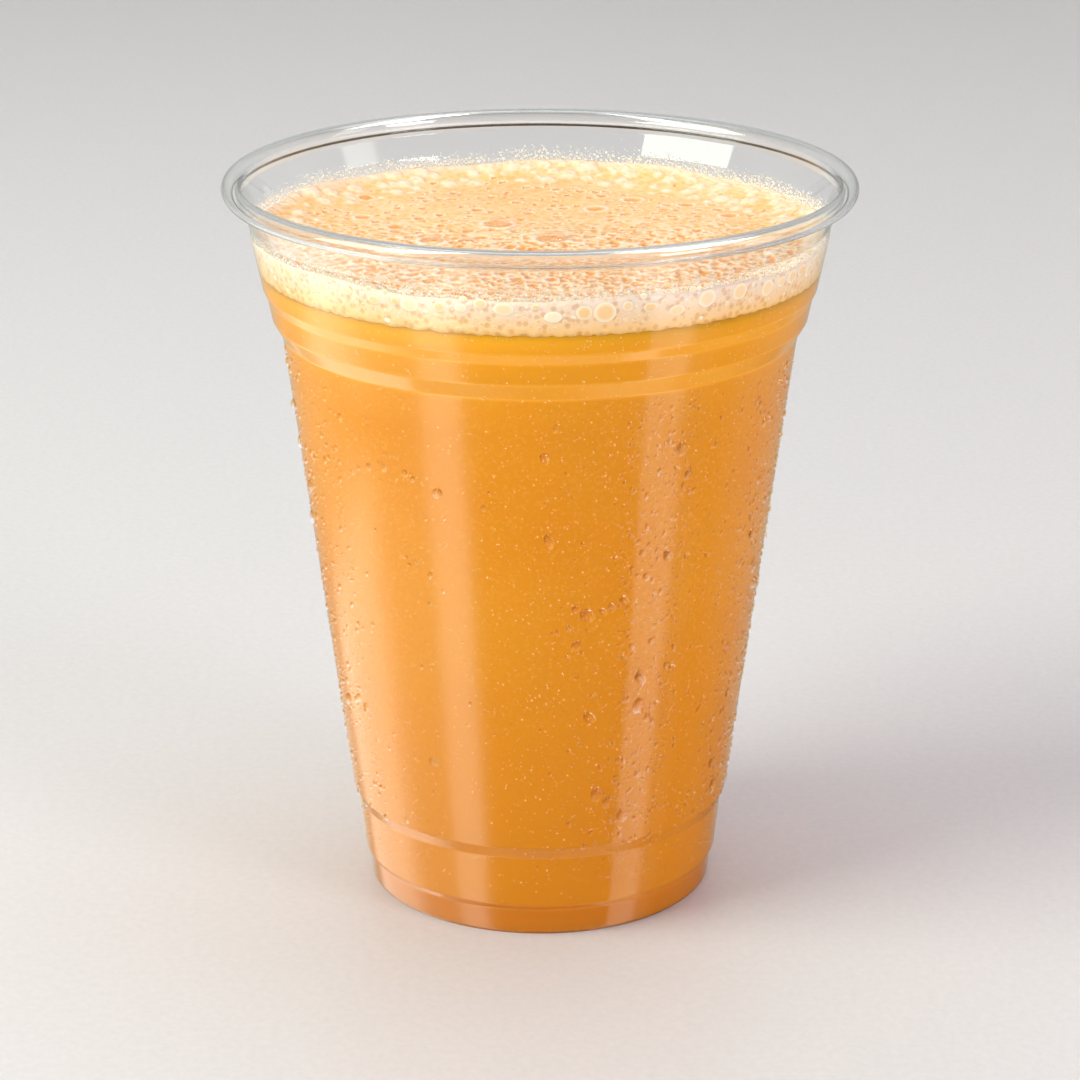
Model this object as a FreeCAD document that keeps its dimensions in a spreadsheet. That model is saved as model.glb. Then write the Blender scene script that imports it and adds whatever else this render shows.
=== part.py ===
import FreeCAD, Part
import math
import os
import Sketcher

# A clear thermoformed plastic cup of frothy orange juice: the cup, its juice and its froth.
#
# Millimetres, +Z up, with the origin at the centre of the foot, on the table. The cup is
# one plastic sheet of constant thickness turned about Z: a raised floor inside a hollow
# foot ring, a heel band, a tapered body between two steps, a wider collar and a rim that
# is rolled outwards. The juice fills it to its level, the hollow foot ring included. The
# froth lies on the juice, flat and bubbly in the middle, and climbs the wall at its edge.

# Driving sizes: millimetres, degrees, or shares of a bubble's radius.
SIZES = {
    # the whole cup
    "rim_diameter": 98.0,  # over the rolled rim
    "cup_height": 116.0,  # table to the top of the rim
    "foot_diameter": 55.2,  # over the foot ring, at the table
    "wall": 0.4,  # thickness of the plastic sheet
    # the foot and the heel, from the table up
    "foot_width": 2.6,  # foot ring, outside to inner riser
    "floor_rise": 3.6,  # underside of the floor above the table
    "riser_draft": 0.5,  # how far the inner riser leans
    "foot_height": 4.5,
    "foot_flare": 0.3,
    "ankle_height": 0.9,  # small step over the foot
    "ankle_step": 0.7,
    "heel_height": 8.6,  # band between the two lower steps
    "heel_flare": 0.9,
    "stack_height": 2.0,  # stacking step
    "stack_step": 0.85,
    # the collar, from the rim down
    "bead_diameter": 2.9,  # section of the rolled rim
    "curl_angle": 290.0,  # how far round the rim is rolled
    "lip_height": 1.85,  # upright lip under the middle of the bead
    "neck_height": 3.5,
    "neck_flare": 1.6,
    "land_height": 2.0,  # nearly upright band under the neck
    "land_flare": 0.2,
    "collar_height": 8.0,
    "collar_flare": 1.65,
    "crease_height": 1.4,
    "crease_step": 0.65,
    "band_height": 3.5,  # lower collar, under the crease
    "band_flare": 0.7,
    "shoulder_height": 2.5,
    "shoulder_step": 1.5,
    # rounds, on the outside of the sheet
    "foot_round": 0.8,
    "floor_round": 0.9,
    "step_round": 0.6,
    "shoulder_round": 1.1,
    # the contents, from the top of the rim down
    "juice_depth": 13.2,
    "froth_depth": 7.4,  # to the froth's edge at the wall
    "froth_dish": 2.8,  # the froth's middle under its edge
    "froth_climb": 9.5,  # width of the ring in which the froth climbs
    # bubbles in the froth's middle
    "bubble_largest": 4.6,
    "bubble_smallest": 1.8,
    "bubble_sink": 0.5,  # how deep a burst bubble's pit is
    "bubble_swell": 0.35,  # how high a whole bubble stands
    "bubble_margin": 3.0,  # flat froth outside the last bubble
}
BURST_BUBBLES = 32
WHOLE_BUBBLES = 16
GOLDEN_SHARE = (math.sqrt(5.0) - 1.0) / 2.0

# The radius of the outside of the cup where the froth ends, and the froth's flat level.
FROTH_RADIUS = "(sizes.rim_diameter / 2 - sizes.bead_diameter + sizes.wall - sizes.neck_flare)"
FROTH_LEVEL = "(sizes.cup_height - sizes.froth_depth - sizes.froth_dish)"

# The corners of the outline, each a round's size and then the (run, rise) to the next one:
# from the middle of the floor's underside up to the body, and from the body up to the rim.
FOOT_STEPS = [
    ("", "sizes.foot_diameter / 2 - sizes.foot_width - sizes.riser_draft", "0"),
    ("floor_round", "sizes.riser_draft", "-sizes.floor_rise"),
    ("foot_round", "sizes.foot_width", "0"),
    ("foot_round", "sizes.foot_flare", "sizes.foot_height"),
    ("step_round", "sizes.ankle_step", "sizes.ankle_height"),
    ("step_round", "sizes.heel_flare", "sizes.heel_height"),
    ("step_round", "sizes.stack_step", "sizes.stack_height"),
]
COLLAR_STEPS = [
    ("step_round", "sizes.shoulder_step", "sizes.shoulder_height"),
    ("shoulder_round", "sizes.band_flare", "sizes.band_height"),
    ("step_round", "sizes.crease_step", "sizes.crease_height"),
    ("step_round", "sizes.collar_flare", "sizes.collar_height"),
    ("step_round", "sizes.land_flare", "sizes.land_height"),
    ("step_round", "sizes.neck_flare", "sizes.neck_height"),
    ("step_round", "0", "sizes.lip_height"),
]
BODY_ROUND = "step_round"
START = ("0", "sizes.floor_rise")
END = (
    "sizes.rim_diameter / 2 - sizes.bead_diameter + sizes.wall",
    "sizes.cup_height - sizes.bead_diameter / 2",
)

doc = FreeCAD.newDocument("juice_cup")


def make_sheet():
    """Write the driving sizes into a spreadsheet, one alias to a row."""
    table = doc.addObject("Spreadsheet::Sheet", "sizes")
    for row, (name, value) in enumerate(SIZES.items(), start=1):
        table.set(f"A{row}", name)
        table.set(f"B{row}", str(value))
        table.setAlias(f"B{row}", name)
    doc.recompute()


def make_sketch(name):
    """An empty sketch in the XZ plane: its X is the radius and its Y the height."""
    sketch = doc.addObject("Sketcher::SketchObject", name)
    upright = FreeCAD.Rotation(FreeCAD.Vector(1, 0, 0), 90)
    sketch.Placement = FreeCAD.Placement(FreeCAD.Vector(), upright)
    return sketch


def point(sketch, across, up):
    """The point at two formulas of the sheet's cells, as the sketch works them out."""
    return FreeCAD.Vector(sketch.evalExpression(across), sketch.evalExpression(up), 0)


def bind(sketch, kind, *places, formula):
    """Add one dimension to a sketch and bind it to a formula of the sheet's cells."""
    index = sketch.addConstraint(Sketcher.Constraint(kind, *places, sketch.evalExpression(formula)))
    sketch.setExpression(f"Constraints[{index}]", formula)


def bind_offset(sketch, first, second, run, rise):
    """Fix the way from one (curve, end) to another."""
    bind(sketch, "DistanceX", *first, *second, formula=run)
    bind(sketch, "DistanceY", *first, *second, formula=rise)


def add_line(sketch, start, end):
    """Add a straight line and return its number."""
    return sketch.addGeometry(Part.LineSegment(start, end), False)


def join(sketch, lines):
    """Join each line's end to the next one's start."""
    for before, after in zip(lines, lines[1:]):
        sketch.addConstraint(Sketcher.Constraint("Coincident", before, 2, after, 1))


def draw_outline(sketch):
    """Draw the outside of the sheet up to the top of its lip; return its lines, in order."""
    low = [point(sketch, *START)]
    for _, run, rise in FOOT_STEPS:
        low.append(low[-1] + point(sketch, run, rise))
    high = [point(sketch, *END)]
    for _, run, rise in reversed(COLLAR_STEPS):
        high.insert(0, high[0] - point(sketch, run, rise))
    corners = low + high
    lines = [add_line(sketch, *ends) for ends in zip(corners, corners[1:])]
    join(sketch, lines)
    steps = FOOT_STEPS + [None] + COLLAR_STEPS
    bind_offset(sketch, (-1, 1), (lines[0], 1), *START)
    bind_offset(sketch, (-1, 1), (lines[-1], 2), *END)
    for line, step in zip(lines, steps):
        if step is not None:
            bind_offset(sketch, (line, 1), (line, 2), *step[1:])
    rounds = [step[0] for step in FOOT_STEPS[1:]] + [BODY_ROUND]
    rounds += [step[0] for step in COLLAR_STEPS]
    for before, after, name in zip(lines, lines[1:], rounds):
        round_corner(sketch, before, after, f"sizes.{name}")
    return lines


def round_corner(sketch, before, after, radius):
    """Round the corner between two joined lines, with the radius bound to the sheet."""
    shape = sketch.Geometry[before], sketch.Geometry[after]
    near = [(line.StartPoint + line.EndPoint) * 0.5 for line in shape]
    sketch.fillet(before, after, *near, sketch.evalExpression(radius), True, True, False)
    arc = sketch.GeometryCount - 2
    bind(sketch, "Radius", arc, formula=radius)


def draw_curl(sketch, lip):
    """Draw the rolled rim as two arcs: over the top of the lip, then round and under it."""
    radius = "sizes.bead_diameter / 2 - sizes.wall"
    reach = sketch.evalExpression(radius)
    under = math.radians(sketch.evalExpression("sizes.curl_angle")) - math.pi
    centre = point(sketch, *END) + FreeCAD.Vector(reach, 0, 0)
    circle = Part.Circle(centre, FreeCAD.Vector(0, 0, 1), reach)
    over = sketch.addGeometry(Part.ArcOfCircle(circle, 0, math.pi), False)
    roll = sketch.addGeometry(Part.ArcOfCircle(circle, -under, 0), False)
    sketch.addConstraint(Sketcher.Constraint("Tangent", lip, 2, over, 2))
    sketch.addConstraint(Sketcher.Constraint("Tangent", over, 1, roll, 2))
    bind(sketch, "Radius", over, formula=radius)
    bind(sketch, "Radius", roll, formula=radius)
    bind(sketch, "Angle", over, formula="180 deg")
    bind(sketch, "Angle", roll, formula="sizes.curl_angle * 1 deg - 180 deg")


def close_to_axis(sketch, first, last):
    """Close an outline with a line in to the axis and another down it."""
    top = sketch.Geometry[last].EndPoint
    bottom = sketch.Geometry[first].StartPoint
    corner = FreeCAD.Vector(0, top.y, 0)
    inward = add_line(sketch, top, corner)
    down = add_line(sketch, corner, bottom)
    join(sketch, [last, inward, down, first])
    sketch.addConstraint(Sketcher.Constraint("Horizontal", inward))


def revolve(source, label):
    """Turn a flat face about Z."""
    solid = doc.addObject("Part::Revolution", label)
    solid.Source = source
    solid.Axis = FreeCAD.Vector(0, 0, 1)
    solid.Base = FreeCAD.Vector(0, 0, 0)
    solid.Angle = 360
    solid.Solid = True
    return solid


def combine(kind, label, base, tool):
    """A Cut or Common of two objects."""
    result = doc.addObject(f"Part::{kind}", label)
    result.Base = base
    result.Tool = tool
    return result


def fuse(label, shapes):
    """Several objects as one."""
    result = doc.addObject("Part::MultiFuse", label)
    result.Shapes = shapes
    return result


def make_cup():
    """The plastic sheet, from the middle of the floor to the end of the rolled rim."""
    outline = make_sketch("sheet_outline")
    lines = draw_outline(outline)
    draw_curl(outline, lines[-1])
    section = doc.addObject("Part::Offset2D", "sheet_section")
    section.Source = outline
    section.Mode = "Skin"
    section.Join = "Arc"
    section.Fill = True
    section.setExpression("Value", "sizes.wall")
    return revolve(section, "cup")


def make_inside(cup):
    """The space inside the cup, from its floor to the top of its lip."""
    outline = make_sketch("mould_outline")
    lines = draw_outline(outline)
    close_to_axis(outline, lines[0], lines[-1])
    mould = revolve(outline, "mould")
    return combine("Cut", "inside", mould, cup)


def make_juice(inside):
    """The juice, from the foot ring's groove up to its level."""
    slab = doc.addObject("Part::Cylinder", "juice_slab")
    slab.setExpression("Radius", "sizes.rim_diameter / 2")
    slab.setExpression("Height", "sizes.cup_height - sizes.juice_depth")
    return combine("Common", "juice", inside, slab)


def make_froth_form():
    """The froth before it meets the wall: flat in the middle, with an arc up to its edge."""
    sketch = make_sketch("froth_outline")
    flat = f"{FROTH_RADIUS} - sizes.froth_climb"
    level = "sizes.cup_height - sizes.juice_depth"
    middle = point(sketch, "0", FROTH_LEVEL)
    foot = point(sketch, flat, FROTH_LEVEL)
    edge = point(sketch, FROTH_RADIUS, "sizes.cup_height - sizes.froth_depth")
    climb, dish = edge.x - foot.x, edge.y - foot.y
    radius = (climb**2 + dish**2) / (2 * dish)
    turn = math.atan2(climb, radius - dish)
    circle = Part.Circle(foot + FreeCAD.Vector(0, radius, 0), FreeCAD.Vector(0, 0, 1), radius)
    arc = Part.ArcOfCircle(circle, -math.pi / 2, turn - math.pi / 2)
    corners = [edge, point(sketch, FROTH_RADIUS, level), point(sketch, "0", level), middle, foot]
    side, under, axis, top = [add_line(sketch, *ends) for ends in zip(corners, corners[1:])]
    rise = sketch.addGeometry(arc, False)
    join(sketch, [side, under, axis, top])
    sketch.addConstraint(Sketcher.Constraint("Coincident", rise, 2, side, 1))
    sketch.addConstraint(Sketcher.Constraint("Tangent", top, 2, rise, 1))
    for line, way in ((side, "Vertical"), (under, "Horizontal"), (top, "Horizontal")):
        sketch.addConstraint(Sketcher.Constraint(way, line))
    bind_offset(sketch, (-1, 1), (axis, 1), "0", level)
    bind_offset(sketch, (-1, 1), (axis, 2), "0", FROTH_LEVEL)
    bind_offset(sketch, (rise, 1), (rise, 2), "sizes.froth_climb", "sizes.froth_dish")
    bind(sketch, "DistanceX", -1, 1, side, 1, formula=FROTH_RADIUS)
    return revolve(sketch, "froth_form")


def make_bubble(number, count, height):
    """One ball of the froth, on a spiral that spreads the balls evenly over the flat middle.

    Its centre stands over the froth's level by a height that is a formula of its radius.
    """
    share = (number * GOLDEN_SHARE) % 1.0
    reach = math.sqrt((number + 0.5) / count)
    turn = 360.0 * GOLDEN_SHARE * number
    radius = f"(sizes.bubble_smallest + {share:.4f} * (sizes.bubble_largest - sizes.bubble_smallest)) / 2"
    spread = f"{reach:.4f} * ({FROTH_RADIUS} - sizes.froth_climb - sizes.bubble_margin)"
    ball = doc.addObject("Part::Sphere", f"bubble_{number}")
    ball.setExpression("Radius", radius)
    ball.setExpression("Placement.Base.x", f"{spread} * cos({turn:.3f} deg)")
    ball.setExpression("Placement.Base.y", f"{spread} * sin({turn:.3f} deg)")
    ball.setExpression("Placement.Base.z", f"{FROTH_LEVEL} + {height} * {radius}")
    return ball


def make_froth(inside, juice):
    """The froth on the juice: burst bubbles are pits in its middle and whole ones domes."""
    count = BURST_BUBBLES + WHOLE_BUBBLES
    every = count // WHOLE_BUBBLES
    pits = []
    domes = []
    for number in range(count):
        if number % every == 0:
            domes.append(make_bubble(number, count, "(sizes.bubble_swell - 1)"))
        else:
            pits.append(make_bubble(number, count, "(1 - sizes.bubble_sink)"))
    plain = combine("Common", "froth_plain", inside, make_froth_form())
    pitted = combine("Cut", "froth_pitted", plain, fuse("burst_bubbles", pits))
    return combine("Cut", "froth", fuse("froth_and_domes", [pitted] + domes), juice)


def check(parts):
    """Stop if any object failed or any sub-part isn't one valid solid."""
    for item in doc.Objects:
        if {"Invalid", "Error"} & set(item.State):
            raise RuntimeError(f"{item.Name} failed: {item.State}")
    for part in parts:
        shape = part.Shape
        if shape.isNull() or not shape.isValid() or len(shape.Solids) != 1:
            raise RuntimeError(f"{part.Label} isn't one valid solid")


def main():
    """Build the sub-parts, check them and write one file for each."""
    make_sheet()
    cup = make_cup()
    inside = make_inside(cup)
    juice = make_juice(inside)
    parts = [cup, juice, make_froth(inside, juice)]
    doc.recompute()
    check(parts)
    os.makedirs("parts", exist_ok=True)
    for part in parts:
        part.Shape.exportStep(os.path.join("parts", f"{part.Label}.step"))
        box = part.Shape.BoundBox
        print(f"{part.Label}: {part.Shape.Volume:.1f} mm3, z {box.ZMin:.2f} to {box.ZMax:.2f}")


main()
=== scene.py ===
import bpy
import numpy as np
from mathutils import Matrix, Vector


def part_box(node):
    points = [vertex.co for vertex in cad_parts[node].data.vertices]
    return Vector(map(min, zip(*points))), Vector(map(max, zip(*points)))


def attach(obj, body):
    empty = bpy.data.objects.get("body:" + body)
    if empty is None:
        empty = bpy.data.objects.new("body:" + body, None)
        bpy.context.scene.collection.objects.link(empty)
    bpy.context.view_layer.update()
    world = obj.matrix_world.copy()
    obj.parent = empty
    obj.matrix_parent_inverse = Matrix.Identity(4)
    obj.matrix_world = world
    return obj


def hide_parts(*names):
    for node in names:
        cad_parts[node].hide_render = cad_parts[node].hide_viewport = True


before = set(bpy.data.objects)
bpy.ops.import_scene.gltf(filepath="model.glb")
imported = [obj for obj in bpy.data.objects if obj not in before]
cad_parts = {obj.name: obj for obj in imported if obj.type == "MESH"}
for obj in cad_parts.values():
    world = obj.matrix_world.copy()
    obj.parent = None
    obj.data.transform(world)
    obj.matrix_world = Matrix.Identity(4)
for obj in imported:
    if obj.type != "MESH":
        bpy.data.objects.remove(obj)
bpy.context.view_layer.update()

MM = 0.001
TURN = 2.0 * np.pi


# ------------------------------------------------------------------ sizes of the real thing

CUP_LOW, CUP_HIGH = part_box("cup")
JUICE_LOW, JUICE_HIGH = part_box("juice")
FROTH_LOW, FROTH_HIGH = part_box("froth")
RIM_RADIUS = CUP_HIGH[0]
RIM_TOP = CUP_HIGH[2]
JUICE_LEVEL = JUICE_HIGH[2]
FROTH_EDGE = FROTH_HIGH[2]

WALL = 0.4 * MM
BEAD = 2.9 * MM  # section of the rolled rim
CURL = np.radians(290.0)  # how far round the rim is rolled
FLOOR_RISE = 3.6 * MM  # underside of the floor over the table
FLOOR_RADIUS = 24.5 * MM
BITE = 0.1 * MM  # how far the contents reach into the plastic
FADE = 0.02  # the sheet's unevenness fades out over this many metres to the table and the axis
SAME_POINT = 1e-7  # points nearer than this many metres are one

# The outside of the sheet as steps (run outwards, rise, round at the step's start), in mm:
# from the edge of the floor up to the body, and from the body up to the lip.
FOOT_STEPS = [
    (0.5, -3.6, 0.9),
    (2.6, 0.0, 0.8),
    (0.3, 4.5, 0.8),
    (0.7, 0.9, 0.6),
    (0.9, 8.6, 0.6),
    (0.85, 2.0, 0.6),
]
COLLAR_STEPS = [
    (1.5, 2.5, 0.6),
    (0.7, 3.5, 1.1),
    (0.65, 1.4, 0.6),
    (1.65, 8.0, 0.6),
    (0.2, 2.0, 0.6),
    (1.6, 3.5, 0.6),
    (0.0, 1.85, 0.6),
]
BODY_ROUND = 0.6  # where the body meets the stacking step
FOOT_TOP = 4.5 * MM
SHELVES = ((91.8 * MM, 94.3 * MM), (97.8 * MM, 99.2 * MM))  # the two steps that lean out the most, where the juice's colour carries painted light


# ------------------------------------------------------------------ making meshes


def make_piece(name, points, faces, material):
    """A mesh object from arrays of points and faces, riding on the one body."""
    mesh = bpy.data.meshes.new(name)
    faces = [np.asarray(block, dtype=np.int32) for block in faces]
    mesh.vertices.add(len(points))
    mesh.vertices.foreach_set("co", np.asarray(points, dtype=np.float32).ravel())
    loops = np.concatenate([block.ravel() for block in faces])
    counts = np.concatenate([np.full(len(block), block.shape[1]) for block in faces])
    starts = np.concatenate([[0], np.cumsum(counts)[:-1]])
    mesh.loops.add(len(loops))
    mesh.loops.foreach_set("vertex_index", loops.astype(np.int32))
    mesh.polygons.add(len(counts))
    mesh.polygons.foreach_set("loop_start", starts.astype(np.int32))
    mesh.polygons.foreach_set("use_smooth", np.ones(len(counts), bool))
    mesh.update(calc_edges=True)
    mesh.validate()
    mesh.materials.append(material)
    piece = bpy.data.objects.new(name, mesh)
    bpy.context.scene.collection.objects.link(piece)
    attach(piece, "root")
    return piece


def add_attribute(piece, name, values):
    """One number for each vertex, for the material to read."""
    layer = piece.data.attributes.new(name, "FLOAT", "POINT")
    layer.data.foreach_set("value", np.asarray(values, dtype=np.float32))


def grid_faces(rows, columns, start=0):
    """Quads of a grid of vertices that closes on itself along its columns."""
    row = np.arange(rows - 1)[:, None] * columns
    here = np.arange(columns)[None, :]
    there = (here + 1) % columns
    quads = np.stack([row + here, row + there, row + columns + there, row + columns + here], -1)
    return quads.reshape(-1, 4) + start


def rounded(corners, rounds, steps=6):
    """A line through corners, each inner one replaced by an arc tangent to both its sides.

    The arc starts radius * tan(half the turn) before the corner and ends as far after it.
    """
    corners = np.asarray(corners, dtype=float)
    line = [corners[:1]]
    for before, corner, after, radius in zip(corners, corners[1:], corners[2:], rounds):
        enter = (corner - before) / np.linalg.norm(corner - before)
        leave = (after - corner) / np.linalg.norm(after - corner)
        turn = np.arctan2(enter[0] * leave[1] - enter[1] * leave[0], enter @ leave)
        side = np.sign(turn) * np.array([-enter[1], enter[0]])
        centre = corner - enter * radius * np.tan(abs(turn) / 2) + side * radius
        angles = np.linspace(0.0, turn, steps)[:, None]
        way = side * np.cos(angles) - np.sign(turn) * enter * np.sin(angles)
        line.append(centre - radius * way)
    line.append(corners[-1:])
    return np.concatenate(line)


def sheet_outline():
    """The outside of the plastic sheet from the axis to the lip: radius and height in metres."""
    low = [(0.0, FLOOR_RISE), (FLOOR_RADIUS, FLOOR_RISE)]
    for run, rise, _ in FOOT_STEPS:
        low.append((low[-1][0] + run * MM, low[-1][1] + rise * MM))
    high = [(RIM_RADIUS - BEAD + WALL, RIM_TOP - BEAD / 2)]
    for run, rise, _ in reversed(COLLAR_STEPS):
        high.insert(0, (high[0][0] - run * MM, high[0][1] - rise * MM))
    rounds = [step[2] for step in FOOT_STEPS] + [BODY_ROUND] + [step[2] for step in COLLAR_STEPS]
    line = rounded(low + high, np.array(rounds) * MM)
    apart = np.linalg.norm(np.diff(line, axis=0), axis=1) > SAME_POINT
    return line[np.append(True, apart)]


def resample(line, spacing):
    """The line with points added so that none lie further apart than the spacing."""
    parts = [line[:1]]
    for start, end in zip(line, line[1:]):
        count = max(1, int(np.ceil(np.linalg.norm(end - start) / spacing)))
        parts.append(start + (end - start) * (np.arange(1, count + 1) / count)[:, None])
    return np.concatenate(parts)


def line_normals(line):
    """Unit normals of a line, to its left: towards the drink, for the sheet's outside."""
    run = np.gradient(line, axis=0)
    run /= np.linalg.norm(run, axis=1)[:, None]
    return np.stack([-run[:, 1], run[:, 0]], 1)


OUTLINE = sheet_outline()
WALL_LINE = OUTLINE[OUTLINE[:, 1].argmin():]  # from the foot's ring up to the lip


def wall_radius(height):
    """Radius of the outside of the cup at a height over the foot."""
    return np.interp(height, WALL_LINE[:, 1], WALL_LINE[:, 0])


def wall_lean(height):
    """How much the outside of the cup widens for each metre of height."""
    reach = 0.5 * MM
    return (wall_radius(height + reach) - wall_radius(height - reach)) / (2 * reach)


def wobble(angle, height):
    """Small unevenness of a thin formed sheet: a few waves round it and up it, in metres."""
    wave = 0.05 * np.sin(2 * angle + 0.7) + 0.03 * np.sin(3 * angle - 1.1 + height * 30)
    wave = wave + 0.014 * np.sin(7 * angle + height * 55)
    wave = wave + 0.008 * np.sin(13 * angle - height * 120)
    return wave * MM * np.clip(height / FADE, 0.0, 1.0)


def on_wall(angle, height, out):
    """Points at an angle from the front and a height, standing out from the cup's outside."""
    radius = wall_radius(height) + wobble(angle, height)
    lean = wall_lean(height)
    scale = out / np.sqrt(1 + lean**2)
    radius = radius + scale
    return np.stack([radius * np.sin(angle), -radius * np.cos(angle), height - scale * lean], -1)


def turn_profile(line, columns=240):
    """A profile (radius, height) carried round the axis, with poles where it starts and ends."""
    angle = np.arange(columns) / columns * TURN
    middle = line[1:-1]
    radius = middle[:, 0][:, None] + np.zeros(columns)
    height = middle[:, 1][:, None] + np.zeros(columns)
    radius = radius + wobble(angle[None, :], height) * np.clip(middle[:, :1] / FADE, 0, 1)
    turned = angle - np.pi / 2
    ring = np.stack([radius * np.cos(turned), radius * np.sin(turned), height], -1)
    ends = np.array([[0, 0, line[0, 1]], [0, 0, line[-1, 1]]])
    points = np.concatenate([ring.reshape(-1, 3), ends])
    first = len(points) - 2
    here = np.arange(columns)
    there = (here + 1) % columns
    last = (len(middle) - 1) * columns
    low = np.stack([np.full(columns, first), there, here], 1)
    high = np.stack([np.full(columns, first + 1), last + here, last + there], 1)
    return points, [grid_faces(len(middle), columns), low, high]


# ------------------------------------------------------------------ materials


class Shader:
    """A material's node tree, with short ways to add and join nodes."""

    def __init__(self, name):
        self.material = bpy.data.materials.new(name)
        self.material.use_nodes = True
        self.tree = self.material.node_tree
        self.tree.nodes.clear()
        self.out = self.add("ShaderNodeOutputMaterial")

    def add(self, kind, **values):
        """Add a node; values set its properties, or its inputs by name."""
        node = self.tree.nodes.new(kind)
        for key, value in values.items():
            if hasattr(node, key):
                setattr(node, key, value)
            else:
                self.put(node.inputs[key.replace("_", " ")], value)
        return node

    def put(self, socket, value):
        """Link an output to a socket, or set the socket's own value."""
        if isinstance(value, bpy.types.NodeSocket):
            self.tree.links.new(value, socket)
        else:
            socket.default_value = value

    def place(self):
        """The point on the piece, in metres."""
        return self.add("ShaderNodeTexCoord").outputs["Object"]

    def attribute(self, name):
        """A number stored on the piece's vertices."""
        return self.add("ShaderNodeAttribute", attribute_name=name).outputs["Fac"]

    def noise(self, scale, detail=2.0, roughness=0.5):
        """Cloudy noise from 0 to 1, with this many lumps to a metre."""
        node = self.add("ShaderNodeTexNoise", Vector=self.place(), Scale=scale, Detail=detail)
        self.put(node.inputs["Roughness"], roughness)
        return node.outputs["Fac"]

    def cells(self, scale):
        """Distance inside cells, with this many cells to a metre."""
        node = self.add("ShaderNodeTexVoronoi", Vector=self.place(), Scale=scale)
        return node.outputs["Distance"]

    def between(self, value, low, high, to_low=0.0, to_high=1.0):
        """Map a number from one range to another, clamped."""
        node = self.add("ShaderNodeMapRange", Value=value)
        names = ("From Min", "From Max", "To Min", "To Max")
        for name, number in zip(names, (low, high, to_low, to_high)):
            self.put(node.inputs[name], number)
        return node.outputs["Result"]

    def sums(self, operation, first, second):
        """Two numbers combined."""
        node = self.add("ShaderNodeMath", operation=operation)
        self.put(node.inputs[0], first)
        self.put(node.inputs[1], second)
        return node.outputs[0]

    def blend(self, factor, first, second):
        """Two colours mixed."""
        node = self.add("ShaderNodeMix", data_type="RGBA")
        self.put(node.inputs[0], factor)
        self.put(node.inputs[6], first)
        self.put(node.inputs[7], second)
        return node.outputs[2]

    def bump(self, height, strength, distance):
        """A surface normal tilted by a height."""
        node = self.add("ShaderNodeBump", Height=height, Strength=strength, Distance=distance)
        return node.outputs["Normal"]

    def mix(self, share, first, second):
        """Two surfaces mixed; the share is the second one's."""
        node = self.add("ShaderNodeMixShader")
        for socket, value in zip(node.inputs, (share, first, second)):
            self.put(socket, value)
        return node.outputs[0]

    def fresnel(self, ior, low, high, to_low, to_high):
        """How much a surface of this refractive index mirrors, mapped from one range to another."""
        node = self.add("ShaderNodeFresnel", IOR=ior)
        return self.between(node.outputs[0], low, high, to_low, to_high)

    def finish(self, surface):
        """Join the surface to the output and return the material."""
        self.tree.links.new(surface, self.out.inputs["Surface"])
        return self.material

    def let_lamps_through(self, surface):
        """Clear things pass the lamps' light straight on, so that what is behind them is lit."""
        path = self.add("ShaderNodeLightPath")
        clear = self.add("ShaderNodeBsdfTransparent")
        for ray in ("Is Diffuse Ray", "Is Shadow Ray"):
            surface = self.mix(path.outputs[ray], surface, clear.outputs[0])
        return surface


def shade(red, green, blue):
    """A colour given as screen values from 0 to 255, as the linear one that a shader takes."""
    screen = np.array([red, green, blue]) / 255.0
    linear = np.where(screen <= 0.04045, screen / 12.92, ((screen + 0.055) / 1.055) ** 2.4)
    return (*linear.tolist(), 1.0)


def clear_plastic():
    """Clear glossy sheet with faint flow lines and a little haze."""
    s = Shader("clear_plastic")
    ripple = s.noise(90.0, 1.0)
    haze = s.between(s.noise(260.0, 2.0), 0.45, 0.75, 0.015, 0.06)
    body = s.add("ShaderNodeBsdfPrincipled", IOR=1.56, Roughness=haze)
    s.put(body.inputs["Base Color"], (0.985, 0.99, 0.988, 1.0))
    s.put(body.inputs["Transmission Weight"], 1.0)
    s.put(body.inputs["Normal"], s.bump(ripple, 0.12, 0.0002))
    return s.finish(s.let_lamps_through(body.outputs[0]))


def water():
    """A clear drop with a faint warm tint. Painted shade in darker amber lies behind one edge, and
    painted light lies behind the edge where light would gather, as a tint above one that brightens
    what is behind it.
    """
    s = Shader("condensed_water")
    # Painted shade: darker amber near the drop's edge on the key light's side.
    tint = s.blend(s.attribute("painted_edge_shade"), (1.0, 0.97, 0.9, 1.0), (0.85, 0.66, 0.36, 1.0))
    # Painted light: a tint above one that brightens the juice behind the drop's far edge, where
    # light would gather.
    tint = s.blend(s.attribute("painted_caustic_light"), tint, (1.16, 1.4, 1.75, 1.0))
    clear = s.add("ShaderNodeBsdfTransparent", Color=tint)
    gloss = s.add("ShaderNodeBsdfPrincipled", Roughness=0.03, Metallic=1.0)
    s.put(gloss.inputs["Base Color"], (1.0, 1.0, 1.0, 1.0))
    share = s.fresnel(1.36, 0.02, 0.6, 0.035, 0.3)
    return s.finish(s.mix(share, clear.outputs[0], gloss.outputs[0]))


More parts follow.
